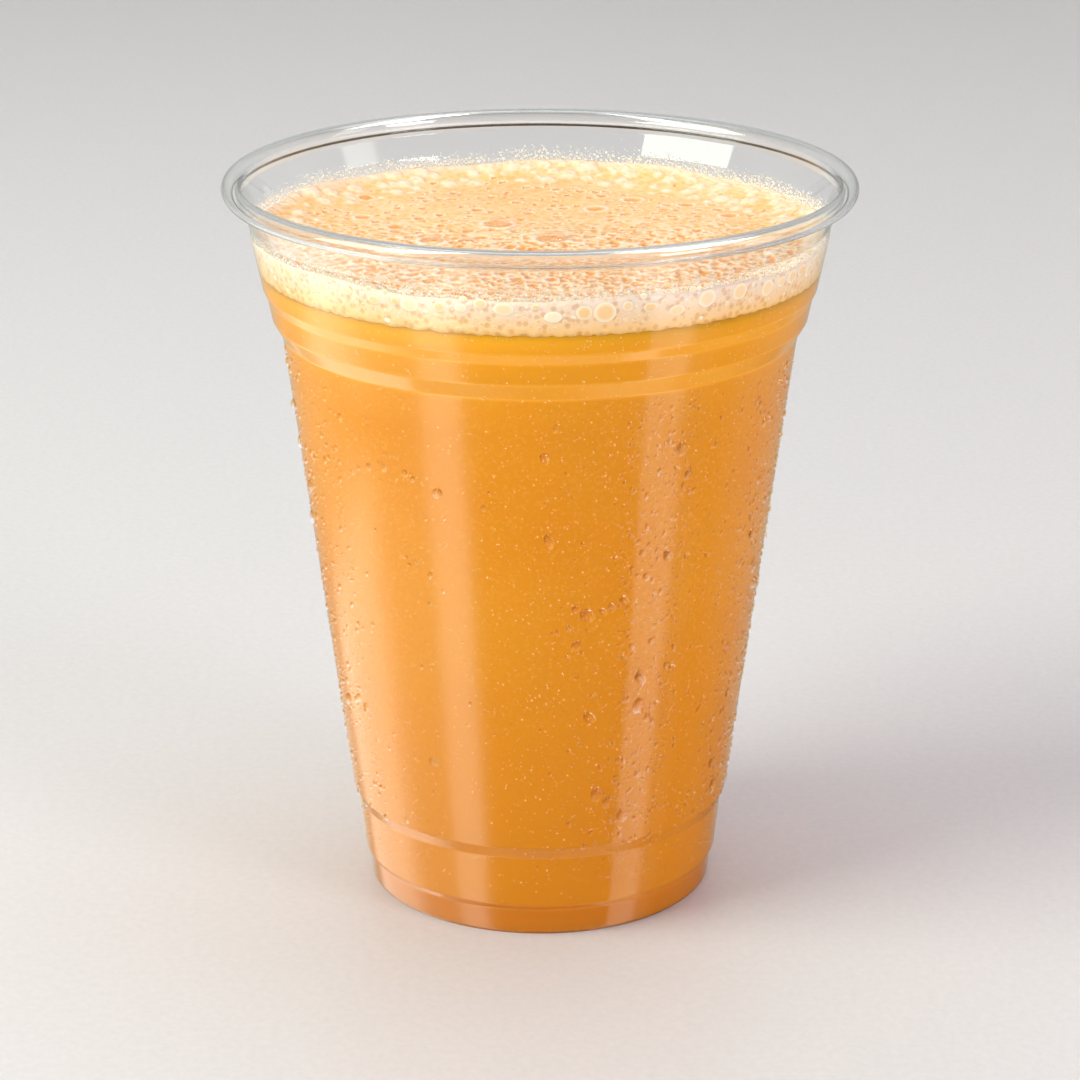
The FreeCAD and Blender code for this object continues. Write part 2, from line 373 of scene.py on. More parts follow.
def cloudy_juice():
    """Cloudy orange juice: light wanders in it, and fine pulp makes it slightly uneven. Its colour
    carries painted shade, darker towards the bottom and in the foot ring, and painted light,
    lighter towards the top and on the two shelves.
    """
    s = Shader("cloudy_juice")
    cloud = s.between(s.noise(38.0, 2.0), 0.3, 0.7)
    pulp = s.between(s.noise(1600.0, 2.0, 0.6), 0.5, 0.7)
    colour = s.blend(cloud, shade(217, 133, 29), shade(219, 139, 34))
    colour = s.blend(s.sums("MULTIPLY", pulp, 0.1), colour, shade(255, 200, 110))
    height = s.add("ShaderNodeSeparateXYZ", Vector=s.place()).outputs["Z"]
    # Painted shade: the juice is darker towards the bottom.
    painted_low_shade = s.between(height, 60 * MM, 8 * MM)
    colour = s.blend(painted_low_shade, colour, shade(206, 125, 28))
    # Painted light: the juice is lighter towards the top, just under the froth.
    colour = s.blend(s.between(height, 86 * MM, 101 * MM), colour, shade(233, 153, 35))
    # Painted light: lighter on the two shelves, which face down and so get less light.
    for low, high in SHELVES:
        above = s.between(height, low - 0.5 * MM, low)
        painted_shelf_light = s.sums("MULTIPLY", above, s.between(height, high + 0.4 * MM, high))
        colour = s.blend(s.sums("MULTIPLY", painted_shelf_light, 0.6), colour, shade(250, 172, 58))
    # Painted shade: the juice is darker in the foot ring.
    foot = s.between(height, FOOT_TOP + 1.0 * MM, FOOT_TOP - 0.8 * MM)
    colour = s.blend(foot, colour, shade(195, 112, 30))
    body = s.add("ShaderNodeBsdfPrincipled", Roughness=0.45, IOR=1.34, subsurface_method="BURLEY")
    s.put(body.inputs["Base Color"], colour)
    s.put(body.inputs["Subsurface Weight"], 1.0)
    s.put(body.inputs["Subsurface Radius"], (1.0, 0.45, 0.12))
    s.put(body.inputs["Subsurface Scale"], 0.004)
    s.put(body.inputs["Specular IOR Level"], 0.1)
    return s.finish(body.outputs[0])


def wet_froth():
    """Wet froth: cream crests, peach between them, orange where the juice shows in a pit."""
    s = Shader("wet_froth")
    hollow = s.attribute("hollow")
    crest = s.attribute("crest")
    lacy = s.attribute("lacy")
    cell = s.cells(850.0)
    pore = s.sums("MULTIPLY", s.between(cell, 0.46, 0.26), lacy)
    web = s.sums("MULTIPLY", s.between(cell, 0.45, 0.75), lacy)
    cloud = s.between(s.noise(130.0, 2.0), 0.35, 0.7)
    tint = s.blend(cloud, shade(224, 171, 104), shade(228, 182, 125))
    tint = s.blend(web, tint, shade(232, 207, 184))
    tint = s.blend(crest, tint, shade(230, 210, 197))
    wall_tint = s.blend(s.attribute("sunk"), shade(250, 228, 213), shade(253, 196, 114))
    tint = s.blend(s.sums("MULTIPLY", s.attribute("side"), 0.85), tint, wall_tint)
    tint = s.blend(pore, tint, shade(212, 140, 54))
    tint = s.blend(hollow, tint, shade(208, 128, 42))
    body = s.add("ShaderNodeBsdfPrincipled", Roughness=0.38, IOR=1.34, subsurface_method="BURLEY")
    s.put(body.inputs["Base Color"], tint)
    s.put(body.inputs["Subsurface Weight"], 0.7)
    s.put(body.inputs["Subsurface Radius"], (1.0, 0.6, 0.3))
    s.put(body.inputs["Subsurface Scale"], 0.0006)
    s.put(body.inputs["Coat Weight"], 0.25)
    s.put(body.inputs["Coat Roughness"], 0.12)
    s.put(body.inputs["Normal"], s.bump(s.sums("MULTIPLY", cell, lacy), 0.8, 0.0005))
    return s.finish(body.outputs[0])


def bubble_skin():
    """The wet skin of a whole bubble: clear face on, glossy at its edges."""
    s = Shader("bubble_skin")
    share = s.fresnel(1.33, 0.0, 1.0, 0.02, 0.65)
    gloss = s.add("ShaderNodeBsdfPrincipled", Roughness=0.05)
    s.put(gloss.inputs["Base Color"], shade(255, 236, 205))
    s.put(gloss.inputs["Specular IOR Level"], 1.0)
    clear = s.add("ShaderNodeBsdfTransparent")
    return s.finish(s.mix(share, clear.outputs[0], gloss.outputs[0]))


def froth_film():
    """Thin froth left on the wall: half clear, white where it is seen from the side."""
    s = Shader("froth_film")
    white = s.add("ShaderNodeBsdfPrincipled", Roughness=0.3)
    s.put(white.inputs["Base Color"], shade(255, 247, 234))
    clear = s.add("ShaderNodeBsdfTransparent")
    share = s.fresnel(1.33, 0.02, 0.3, 0.35, 0.85)
    return s.finish(s.mix(share, clear.outputs[0], white.outputs[0]))


def pressed_bubble():
    """A bubble pressed against the wall: a pale rim round a face that shows the juice."""
    s = Shader("pressed_bubble")
    across = s.attribute("across")
    warmth = s.attribute("warmth")
    face = s.blend(warmth, shade(253, 232, 202), shade(243, 184, 102))
    rim = s.blend(warmth, shade(253, 240, 218), shade(254, 228, 188))
    colour = s.blend(s.between(across, 0.55, 0.95), face, rim)
    body = s.add("ShaderNodeBsdfPrincipled", Roughness=0.35)
    s.put(body.inputs["Base Color"], colour)
    return s.finish(body.outputs[0])


# ------------------------------------------------------------------ the cup


def make_cup():
    """The sheet: the outside line, the end of the curl, and the same line one wall further in."""
    lip = OUTLINE[-1]
    reach = BEAD / 2 - WALL
    angles = np.pi - np.linspace(0.0, CURL, 26)[1:, None]
    curl = lip + reach * np.concatenate([1 + np.cos(angles), np.sin(angles)], 1)
    outside = np.concatenate([resample(OUTLINE, 7 * MM), curl])
    inside = outside + line_normals(outside) * WALL
    inside[0] = [0.0, outside[0, 1] + WALL]
    onward = (curl[-1] - curl[-2]) / np.linalg.norm(curl[-1] - curl[-2])
    end = (outside[-1] + inside[-1]) / 2 + onward * WALL / 2
    profile = np.concatenate([outside, end[None], inside[::-1]])
    points, faces = turn_profile(profile)
    cup = make_piece("plastic_cup", points, faces, clear_plastic())
    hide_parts("cup")


def contents_line(high):
    """The contents' outline against the wall up to a height, a little inside the plastic."""
    line = resample(OUTLINE, 5 * MM)
    inner = line + line_normals(line) * (WALL - BITE)
    inner[0] = [0.0, line[0, 1] + WALL - BITE]
    above = inner[:, 1] > high
    return inner[: np.argmax(above)] if above.any() else inner


def contents_radius(height):
    """The contents' radius against the wall, at a height over the floor."""
    line = contents_line(RIM_TOP)
    line = line[line[:, 1].argmin():]
    return np.interp(height, line[:, 1], line[:, 0])


def make_juice():
    """The juice: the inside of the cup, its foot ring included, up to the level."""
    side = contents_line(JUICE_LEVEL - 0.05 * MM)
    top = np.array([[contents_radius(JUICE_LEVEL), JUICE_LEVEL], [0.0, JUICE_LEVEL]])
    points, faces = turn_profile(np.concatenate([side, top]))
    juice = make_piece("juice_fill", points, faces, cloudy_juice())
    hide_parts("juice")


# ------------------------------------------------------------------ the froth


FROTH_MIDDLE = FROTH_EDGE - 2.6 * MM  # height of the flat middle
FROTH_CLIMB = 9.5 * MM  # width of the band that rises to the wall
FROTH_RADIUS = contents_radius(FROTH_EDGE)

# The few large bubbles on the froth: right and back from the middle, and radius, in mm.
WHOLE = [
    (-6.6, 9.5, 2.2), (1.9, -1.0, 2.6), (-11.4, -0.5, 1.3), (-16.8, -0.5, 1.9), (-2.9, 5.0, 0.9),
]
BURST = [
    (15.1, 26.0, 1.6), (23.5, 22.0, 1.3), (20.0, 18.5, 1.0), (-28.1, 25.5, 1.2),
    (-28.1, 14.0, 1.3), (-22.6, 7.5, 1.4), (30.0, 15.0, 1.4), (21.0, 13.5, 0.9),
    (-19.0, 26.0, 0.9), (9.0, 20.0, 0.8),
]
RING_COUNT = 330  # domes tried in the ring of bubbles by the wall


def froth_level(x, y):
    """The froth's plain surface.

    It is flat in the middle and rises to the wall with the square of the way across the band
    there. Slow waves lie on all of it.
    """
    radius = np.hypot(x, y)
    climb = np.clip((radius - (FROTH_RADIUS - FROTH_CLIMB)) / FROTH_CLIMB, 0.0, 1.0)
    uneven = 0.25 * np.sin(x * 210 + 1) * np.sin(y * 170 + 2) + 0.18 * np.sin(x * 90 - y * 120)
    edge = 0.35 * np.sin(5 * np.arctan2(y, x) + 1.3) + 0.2 * np.sin(13 * np.arctan2(y, x))
    waves = (uneven * (1 - climb) + edge * climb) * MM * 0.8
    return FROTH_MIDDLE + climb**2 * (FROTH_EDGE - FROTH_MIDDLE - 0.4 * MM) + waves


def scatter(rng, count, radius, keep):
    """Random points in a disc, kept with a chance that depends on the place."""
    x, y = rng.uniform(-radius, radius, (2, count * 4))
    inside = (np.hypot(x, y) < radius) & (rng.uniform(size=count * 4) < keep(x, y))
    return x[inside][:count], y[inside][:count]


def keep_apart(x, y, size, gap, order, cell):
    """Numbers of the round things that don't lie on one that comes earlier in the order.

    Two are apart when their middles are further apart than their radii together times the
    later one's gap. Only things in neighbouring square cells are compared.
    """
    kept, bins = [], {}
    around = [(a, b) for a in (-1, 0, 1) for b in (-1, 0, 1)]
    for i in order:
        column, row = int(x[i] // cell), int(y[i] // cell)
        near = [j for a, b in around for j in bins.get((column + a, row + b), [])]
        if all(np.hypot(x[i] - x[j], y[i] - y[j]) > (size[i] + size[j]) * gap[i] for j in near):
            kept.append(i)
            bins.setdefault((column, row), []).append(i)
    return kept


def thin_out(x, y, size, gap=1.0):
    """Keep the round things that don't lie on a larger one."""
    cell = 2 * size.max() * gap
    kept = keep_apart(x, y, size, np.full(len(x), gap), np.argsort(-size), cell)
    return x[kept], y[kept], size[kept]


def froth_bubbles():
    """Places, radii and kinds of the froth's pits and domes: kind 0 is a pit and 1 a dome.

    Their rank, a radius times ten, five or one, puts the large ones first, then the ring by the
    wall, then the small pits, which lie thick in front. The radius comes from the place in line.
    """
    rng = np.random.default_rng(7)

    def front(x, y):
        return np.clip(0.3 - y / 0.028, 0.07, 1.0) * (np.hypot(x, y) < FROTH_RADIUS - 3 * MM)

    x, y = scatter(rng, 5200, FROTH_RADIUS, front)
    pit_size = 0.32 * MM + 0.85 * MM * rng.beta(1.2, 2.8, len(x))
    big = np.array(WHOLE + BURST) * MM
    ring = rng.uniform(0, TURN, RING_COUNT)
    reach = FROTH_RADIUS - rng.beta(1.2, 1.6, RING_COUNT) * 9.0 * MM
    ring_size = (0.5 + 1.5 * rng.beta(1.2, 2.6, RING_COUNT)) * MM
    reach = np.minimum(reach, FROTH_RADIUS - ring_size * 0.7)
    x = np.concatenate([big[:, 0], reach * np.sin(ring), x])
    y = np.concatenate([big[:, 1], -reach * np.cos(ring), y])
    rank = np.concatenate([big[:, 2] * 10, ring_size * 5, pit_size])
    kind = np.zeros(len(x))
    kind[len(big): len(big) + RING_COUNT] = 1
    order = np.argsort(-rank)
    x, y, size, kind = x[order], y[order], rank[order], kind[order]
    size[: len(big)] /= 10
    size[len(big): len(big) + RING_COUNT] /= 5
    gap = np.where(kind, 0.82, 1.12)
    widest = 5.4 * MM  # no two of them can touch from further apart than this
    kept = keep_apart(x, y, size, gap, range(len(x)), widest)
    return x[kept], y[kept], size[kept], kind[kept]


def froth_relief(x, y, bubbles):
    """Height, hollow and crest over the plain froth at many points.

    A pit is a bowl as deep as a share of its radius times (1 - t^2), where t is the way from
    its middle over its radius, inside a narrow raised rim; a dome is the cap of a ball.
    """
    height = np.zeros_like(x)
    hollow = np.zeros_like(x)
    crest = np.zeros_like(x)
    for bx, by, size, kind in zip(*bubbles):
        near = np.flatnonzero((np.abs(x - bx) < size * 1.7) & (np.abs(y - by) < size * 1.7))
        if not len(near):
            continue
        t = np.hypot(x[near] - bx, y[near] - by) / size
        if kind:
            dome = size * 0.26 * np.sqrt(np.clip(1 - t**2, 0, 1))
            height[near] = np.maximum(height[near], dome)
            crest[near] = np.maximum(crest[near], np.clip(1.5 - t, 0, 1) * 0.7)
        else:
            bowl = np.clip(1 - t**2, 0, 1)
            rim = np.exp(-((t - 1.12) / 0.2) ** 2)
            large = float(np.clip(size / MM - 1.1, 0, 1))
            depth = min(0.7 * size, 0.55 * MM) * (1 - 0.45 * large)
            height[near] += rim * min(0.16 * size, 0.1 * MM) - bowl * depth
            dark = np.clip((1.1 - t) * 2.5, 0, 1) * (1 - 0.45 * large)
            hollow[near] = np.maximum(hollow[near], dark)
            crest[near] = np.maximum(crest[near], rim * 0.9)
    return height, hollow, crest


def make_froth(bubbles):
    """The froth: a disc of relief, its side against the wall, and a flat underside.

    The disc is a square grid pressed into a circle: x = u sqrt(1 - v^2 / 2), and the same
    for y with u and v changed over.
    """
    n, m = 391, 221
    u, v = np.meshgrid(np.linspace(-1, 1, n), np.linspace(-1, 1, m), indexing="ij")
    radius = FROTH_RADIUS
    x = (u * np.sqrt(1 - v**2 / 2) * radius).ravel()
    y = (v * np.sqrt(1 - u**2 / 2) * radius).ravel()
    height, hollow, crest = froth_relief(x, y, bubbles)
    calm = np.clip((radius - np.hypot(x, y)) / (0.6 * MM), 0.0, 1.0)
    z = froth_level(x, y) + height * calm
    z += 0.05 * MM * np.sin(x * 5200) * np.sin(y * 4700) * calm
    top = np.stack([x, y, z], -1)
    i, j = np.meshgrid(np.arange(n - 1), np.arange(m - 1), indexing="ij")
    corner = (i * m + j).ravel()
    quads = np.stack([corner, corner + m, corner + m + 1, corner + 1], -1)
    ring = np.concatenate([np.arange(n) * m, (n - 1) * m + np.arange(1, m),
                           np.arange(n - 2, -1, -1) * m + m - 1, np.arange(m - 2, 0, -1)])
    edge = top[ring]
    angle = np.arctan2(edge[:, 0], -edge[:, 1])
    rows = 8
    share = np.arange(1, rows + 1)[:, None] / rows
    scallop = np.abs(np.sin(55 * angle + 3 * np.sin(7 * angle)))
    scallop += 0.7 * np.abs(np.sin(31 * angle + 2))
    low = JUICE_LEVEL - (0.25 + 0.2 * scallop) * MM
    side_z = edge[:, 2] + (low - edge[:, 2]) * share
    side_r = contents_radius(side_z) + wobble(angle[None, :], side_z) + 0.04 * MM * share
    side = np.stack([side_r * np.sin(angle), -side_r * np.cos(angle), side_z], -1)
    start = len(top)
    columns = len(ring)
    points = np.concatenate([top, side.reshape(-1, 3), [[0.0, 0.0, JUICE_LEVEL - 0.03 * MM]]])
    here = np.arange(columns)
    there = np.roll(here, -1)
    first = np.stack([ring, np.roll(ring, -1), start + there, start + here], -1)
    rest = grid_faces(rows, columns, start)
    last = start + (rows - 1) * columns + here
    under = np.stack([np.full(columns, len(points) - 1), last, np.roll(last, -1)], -1)
    faces = [quads, first[:, ::-1], rest[:, ::-1], under[:, ::-1]]
    froth = make_piece("froth_head", points, faces, wet_froth())
    sink = np.append(np.repeat(share[:, 0], columns), 1.0)
    lacy = np.clip(0.75 - y / (0.035), 0.25, 1.0) * calm
    add_attribute(froth, "hollow", np.concatenate([hollow, np.zeros(len(sink))]))
    add_attribute(froth, "side", np.concatenate([np.zeros(len(hollow)), np.ones(len(sink))]))
    add_attribute(froth, "sunk", np.concatenate([np.zeros(len(hollow)), sink]))
    rim = 0.85 * (1 - np.clip((radius - np.hypot(x, y)) / (2.4 * MM), 0.0, 1.0))
    add_attribute(froth, "crest", np.concatenate([np.maximum(crest, rim), 1.0 - sink]))
    add_attribute(froth, "lacy", np.concatenate([lacy, np.full(len(sink), 0.45)]))
    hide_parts("froth")


# ------------------------------------------------------------------ scattered small things


def many_caps(name, centres, axes, size, rise, sink, rings, sides, material,
              roundness=0.5, sag=None, stretch=None):
    """One mesh of many small domes, each a cap on a short skirt that goes into what it sits on.

    A dome's height is rise times (1 - t^2) to the power of its roundness, where t runs from 0
    in its middle to 1 at its edge. The three axes are each dome's own across, along and out.
    Sag makes a dome fuller and wider below and flatter and narrower above.
    """
    across, along, out = axes
    count = len(size)
    t = np.sin(np.arange(1, rings + 1) / rings * np.pi / 2)
    angle = np.arange(sides) / sides * TURN
    ring_a, ring_b = np.cos(angle), np.sin(angle)
    a = np.concatenate([[0.0], (t[:, None] * ring_a).ravel(), ring_a, [0.0]])[None, :]
    b = np.concatenate([[0.0], (t[:, None] * ring_b).ravel(), ring_b, [0.0]])[None, :]
    lift = np.repeat(np.maximum(1 - t**2, 0.0) ** roundness, sides)
    lift = np.concatenate([[1.0], lift, np.zeros(sides + 1)])[None, :]
    below = np.concatenate([np.zeros(1 + rings * sides), np.ones(sides + 1)])[None, :]
    sag = np.zeros((count, 1)) if sag is None else sag[:, None]
    stretch = np.ones((count, 1)) if stretch is None else stretch[:, None]
    local_a = a * size[:, None] * (1 - sag * np.clip(b, 0, 1) * 0.35)
    local_b = b * size[:, None] * (1 + sag * np.clip(-b, 0, 1) * 0.6) * stretch
    height = lift * (1 - 0.3 * sag * b) * rise[:, None] - below * sink
    points = centres[:, None] + across[:, None] * local_a[..., None]
    points = points + along[:, None] * local_b[..., None] + out[:, None] * height[..., None]
    here = np.arange(sides)
    there = (here + 1) % sides
    cap = np.stack([np.zeros(sides, int), 1 + here, 1 + there], 1)
    body = grid_faces(rings + 1, sides, 1)[:, ::-1]
    last = 1 + rings * sides
    base = np.stack([np.full(sides, last + sides), last + there, last + here], 1)
    step = (np.arange(count) * (last + sides + 1))[:, None, None]
    faces = [(block[None] + step).reshape(-1, block.shape[1]) for block in (cap, body, base)]
    piece = make_piece(name, points.reshape(-1, 3), faces, material)
    edge = np.concatenate([[0.0], np.repeat(t, sides), np.ones(sides + 1)])
    add_attribute(piece, "across", np.tile(edge, count))
    return piece, last + sides + 1


def wall_axes(angle, height):
    """Across, up and outward unit vectors of the cup's wall at each place."""
    lean = wall_lean(height)
    flat = np.stack([np.sin(angle), -np.cos(angle), np.zeros_like(angle)], -1)
    across = np.stack([np.cos(angle), np.sin(angle), np.zeros_like(angle)], -1)
    up = np.array([0.0, 0.0, 1.0])
    scale = 1 / np.sqrt(1 + lean**2)[:, None]
    out = (flat - lean[:, None] * up) * scale
    along = (up + lean[:, None] * flat) * scale
    return across, along, out


# Where water gathers, as degrees from the front, half width, and drops for each square
# millimetre: middling ones (column 2), small ones (3) and mist (4).
WET_PATCHES = [
    (28, 9, 0.34, 1.5, 2.2),
    (12, 9, 0.03, 0.12, 0.6),
    (47, 9, 0.04, 0.2, 0.7),
    (70, 15, 0.3, 0.6, 0.5),
    (-12, 16, 0.006, 0.03, 0.25),
    (-40, 12, 0.02, 0.16, 0.8),
    (-68, 16, 0.12, 0.8, 1.3),
    (180, 60, 0.1, 0.16, 0.1),
    (-120, 30, 0.12, 0.3, 0.1),
    (115, 28, 0.15, 0.3, 0.1),
]

# The share of those densities that is made, by column: fewer of the small ones keep the faces few.
SHARE_KEPT = {2: 1.0, 3: 0.75, 4: 0.75}

# The largest drops at the front: angle in degrees, height and half width in mm.
FRONT_DROPS = [
    (32.5, 82.2, 1.0), (35, 77.6, 0.7), (31.5, 64.8, 0.9), (37, 64, 0.5), (26.5, 44.8, 0.85),
    (26.5, 40.2, 0.9), (24, 21, 0.95), (-23.5, 75.8, 0.8), (-37.5, 78.5, 0.6), (-42, 77.8, 0.5),
    (-31.5, 78.2, 0.5), (2, 69.2, 0.8), (11.5, 56.5, 1.15), (9, 51.5, 0.8), (13, 39, 0.9),
    (-31, 29.5, 0.75), (16, 25.5, 0.95), (19, 23.8, 0.75), (8.6, 57.6, 0.65), (29, 50.8, 0.7),
    (30.5, 59, 0.55), (29.5, 37.5, 0.7), (22, 31, 0.6), (28, 28, 0.65), (27.5, 79.2, 0.6),
    (24.5, 66, 0.6), (26, 62, 0.65), (20.5, 58.5, 0.7), (17.5, 57.6, 0.7), (15.2, 57, 0.6),
    (33, 71, 0.5), (1, 82.5, 0.75), (7, 54.5, 0.45), (-27, 62, 0.4), (22.5, 41.5, 0.5),
    (34, 46, 0.5),
]


# Drops scattered over the wall: name, their column above, least and greatest half width in mm,
# rings and sides of the mesh, and the heights in mm between which they lie.
SCATTERED_DROPS = (
    ("middling_drops", 2, 0.2, 0.46, 3, 9, 15, 90),
    ("small_drops", 3, 0.1, 0.22, 2, 6, 8, 91),
    ("mist_drops", 4, 0.05, 0.1, 1, 5, 6, 91),
)


def wet_places(rng, column, low, high):
    """Random places on the wall between two heights, as thick as each patch is wet."""
    angles, heights = [], []
    for patch in WET_PATCHES:
        centre, width, density = patch[0], patch[1], patch[column]
        area = np.radians(2 * width) * wall_radius((low + high) / 2) / MM * (high - low) / MM
        count = int(area * density * SHARE_KEPT[column])
        even = rng.uniform(size=count) < 0.8
        spread = np.where(even, rng.uniform(-1, 1, count), rng.normal(0, 1.0, count))
        angles.append(np.radians(centre + width * spread))
        heights.append(rng.uniform(low, high, count))
    return np.concatenate(angles), np.concatenate(heights)


def apart(angle, height, size, gap):
    """Keep the drops whose edges don't meet on the wall."""
    x, y, size = thin_out(angle * wall_radius(height), height, size, gap)
    return x / wall_radius(y), y, size


def make_drops(name, places, rings, sides, sag, stretch, rng):
    """Drops of water on the outside of the wall.

    Near its edge a drop gets painted shade on its upper left, the key light's side in front, and
    painted light on its lower right, where light would gather through it: both grow with the place
    along this slanting line.
    """
    angle, height, size = places
    count = len(size)
    across, along, out = wall_axes(angle, height)
    turn = rng.normal(0, 0.5, count)[:, None]
    cos, sin = np.cos(turn), np.sin(turn)
    across, along = across * cos + along * sin, along * cos - across * sin
    centres = on_wall(angle, height, 0.0)
    flatness = rng.uniform(0.5, 0.72, count)
    sags = rng.uniform(0.0, sag, count)
    stretches = 1 + rng.uniform(0, stretch, count)
    piece, points = many_caps(name, centres, (across, along, out), size, size * flatness,
                              0.03 * MM, rings, sides, WATER, 0.6,
                              sags, stretches)
    piece.visible_shadow = False
    place = np.zeros(count * points * 3, dtype=np.float32)
    piece.data.vertices.foreach_get("co", place)
    place = place.reshape(count, points, 3) - centres[:, None]
    side = np.einsum("ijk,ik->ij", place, along) * 0.8
    side -= np.einsum("ijk,ik->ij", place, across) * 0.6
    side /= size[:, None]
    edge = np.zeros(count * points, dtype=np.float32)
    piece.data.attributes["across"].data.foreach_get("value", edge)
    near_edge = np.clip((edge.reshape(count, points) - 0.3) / 0.5, 0, 1)
    near_edge[:, -sides - 1:] = 0.0
    # Painted shade and painted light on the drops' edges, for the water's tint.
    add_attribute(piece, "painted_edge_shade", (near_edge * np.clip(0.15 + 0.9 * side, 0, 1)).ravel())
    add_attribute(piece, "painted_caustic_light", (near_edge * np.clip(-0.2 - 1.1 * side, 0, 1)).ravel())


def make_condensation():
    """Large drops, then middling, small and tiny ones, over the body and a little of the heel."""
    rng = np.random.default_rng(11)
    front = np.array(FRONT_DROPS)
    count = 70  # large drops at the sides and the back
    angle = np.radians(rng.uniform(55, 305, count))
    angle = np.where(angle > np.pi, angle - TURN, angle)
    angle = np.concatenate([np.radians(front[:, 0]), angle])
    height = np.concatenate([front[:, 1], rng.uniform(19, 88, count)]) * MM
    size = np.concatenate([front[:, 2], rng.uniform(0.45, 1.0, count)]) * MM
    make_drops("large_drops", apart(angle, height, size, 1.1), 7, 22, 0.8, 0.35, rng)
    for name, column, smallest, largest, rings, sides, low, high in SCATTERED_DROPS:
        angle, height = wet_places(rng, column, low * MM, high * MM)
        size = (smallest + (largest - smallest) * rng.beta(1.1, 1.9, len(angle))) * MM
        make_drops(name, apart(angle, height, size, 1.05), rings, sides, 0.6, 0.7, rng)


def make_specks():
    """Tiny pale bubbles and pulp held in the juice against the wall."""
    rng = np.random.default_rng(23)
    count = 9200
    angle = rng.uniform(-np.pi, np.pi, count)
    height = JUICE_LEVEL - (JUICE_LEVEL - 6 * MM) * rng.beta(0.85, 1.2, count)
    size = (0.04 + 0.11 * rng.beta(1.0, 2.6, count)) * MM
    centres = on_wall(angle, height, -(WALL - BITE))
    piece, points = many_caps("juice_specks", centres, wall_axes(angle, height), size,
                              size * 0.6, 0.02 * MM, 1, 4, pressed_bubble())
    add_attribute(piece, "warmth", np.repeat(rng.uniform(0.35, 1.0, count), points))


# Bubbles pressed against the wall: name, how many are tried, their middle and spread up the
# froth's side as shares of its height, the lowest share, least and greatest radius in mm, rings
# and sides of the mesh, depth of the skirt in mm, and the share of them that is white.
WALL_BUBBLES = (
    ("large_wall_bubbles", 130, 0.62, 0.1, 0.05, 0.75, 1.75, 6, 22, 0.05, 0.12),
    ("middling_wall_bubbles", 700, 0.5, 0.24, 0.05, 0.26, 0.7, 3, 12, 0.04, 0.25),
    ("small_wall_bubbles", 3300, 0.3, 0.26, -0.03, 0.08, 0.24, 2, 7, 0.03, 0.25),
)


def make_wall_bubbles():
    """Bubbles of the froth pressed flat against the wall: large above, tiny below."""
    rng = np.random.default_rng(31)
    depth = FROTH_EDGE - JUICE_LEVEL
    skin = pressed_bubble()
    taken = [np.zeros(0)] * 3
    for (name, count, middle, spread, lowest, least, most,
         rings, sides, sink, white_share) in WALL_BUBBLES:
        share = np.clip(rng.normal(middle, spread, count), lowest, 0.95)
        size = (least + (most - least) * rng.beta(1.2, 2.2, count)) * MM
        if name.startswith("large"):  # these stay within the froth's side
            size = np.minimum(size, 0.9 * np.minimum(share, 1 - share) * depth)
        angle = rng.uniform(-np.pi, np.pi, count)
        height = JUICE_LEVEL + share * depth
        angle, height, size = apart(angle, height, size, 0.98)
        away = np.hypot((angle[:, None] - taken[0]) * FROTH_RADIUS, height[:, None] - taken[1])
        free = (away - taken[2] > 0.8 * size[:, None]).all(axis=1)
        angle, height, size = angle[free], height[free], size[free]
        taken = [np.concatenate(pair) for pair in zip(taken, (angle, height, size))]
        centres = on_wall(angle, height, -(WALL - BITE))
        rise = np.minimum(size * 0.2, 0.16 * MM)
        stretch = rng.uniform(0.62, 1.0, len(size))
        piece, points = many_caps(name, centres, wall_axes(angle, height), size, rise, sink * MM,
                                  rings, sides, skin, 0.5, None, stretch)
        white = rng.uniform(size=len(size)) < white_share
        pale = rng.uniform(0.0, 0.25, len(size))
        warmth = np.where(white, pale, rng.uniform(0.45, 1.0, len(size)))
        warmth *= np.clip(1.3 - 0.9 * (height - JUICE_LEVEL) / depth, 0.4, 1.0)
        add_attribute(piece, "warmth", np.repeat(warmth, points))


def make_whole_bubbles():
    """Bubbles that stand whole on the froth: caps of thin skin."""
    rng = np.random.default_rng(43)
    whole = np.array(WHOLE) * MM
    x, y = scatter(rng, 460, FROTH_RADIUS - 1 * MM, lambda a, b: np.clip(0.5 - b / 0.05, 0.15, 1.0))
    size = (0.18 + 0.45 * rng.beta(1.0, 3.0, len(x))) * MM
    x = np.concatenate([whole[:, 0], x])
    y = np.concatenate([whole[:, 1], y])
    size = np.concatenate([whole[:, 2], size])
    x, y, size = thin_out(x, y, size)
    axes = [np.tile(axis, (len(x), 1)) for axis in np.eye(3)]
    centres = np.stack([x, y, froth_level(x, y) - 0.1 * size], -1)
    many_caps("whole_bubbles", centres, axes, size, size * 0.55, 0.1 * MM, 3, 12,
              bubble_skin())


def make_lacing():
    """Tiny wet bubbles left on the inside of the wall, just over the froth's edge."""
    rng = np.random.default_rng(59)
    count = 5200
    angle = rng.uniform(-np.pi, np.pi, count)
    rise = rng.beta(0.8, 2.2, count) * 2.6 * MM
    x, y = np.sin(angle), -np.cos(angle)
    height = froth_level(x * FROTH_RADIUS, y * FROTH_RADIUS) - 0.15 * MM + rise
    size = (0.1 + 0.26 * rng.beta(1.1, 2.6, count)) * MM
    size = size * np.clip(1.2 - rise / (3.2 * MM), 0.4, 1.0)
    angle, height, size = apart(angle, height, size, 0.92)
    across, along, out = wall_axes(angle, height)
    centres = on_wall(angle, height, -WALL + 0.02 * MM)
    many_caps("froth_lacing", centres, (-across, along, -out), size, size * 0.6, 0.02 * MM, 2, 7,
              froth_film())


# ------------------------------------------------------------------ floor, lights and camera


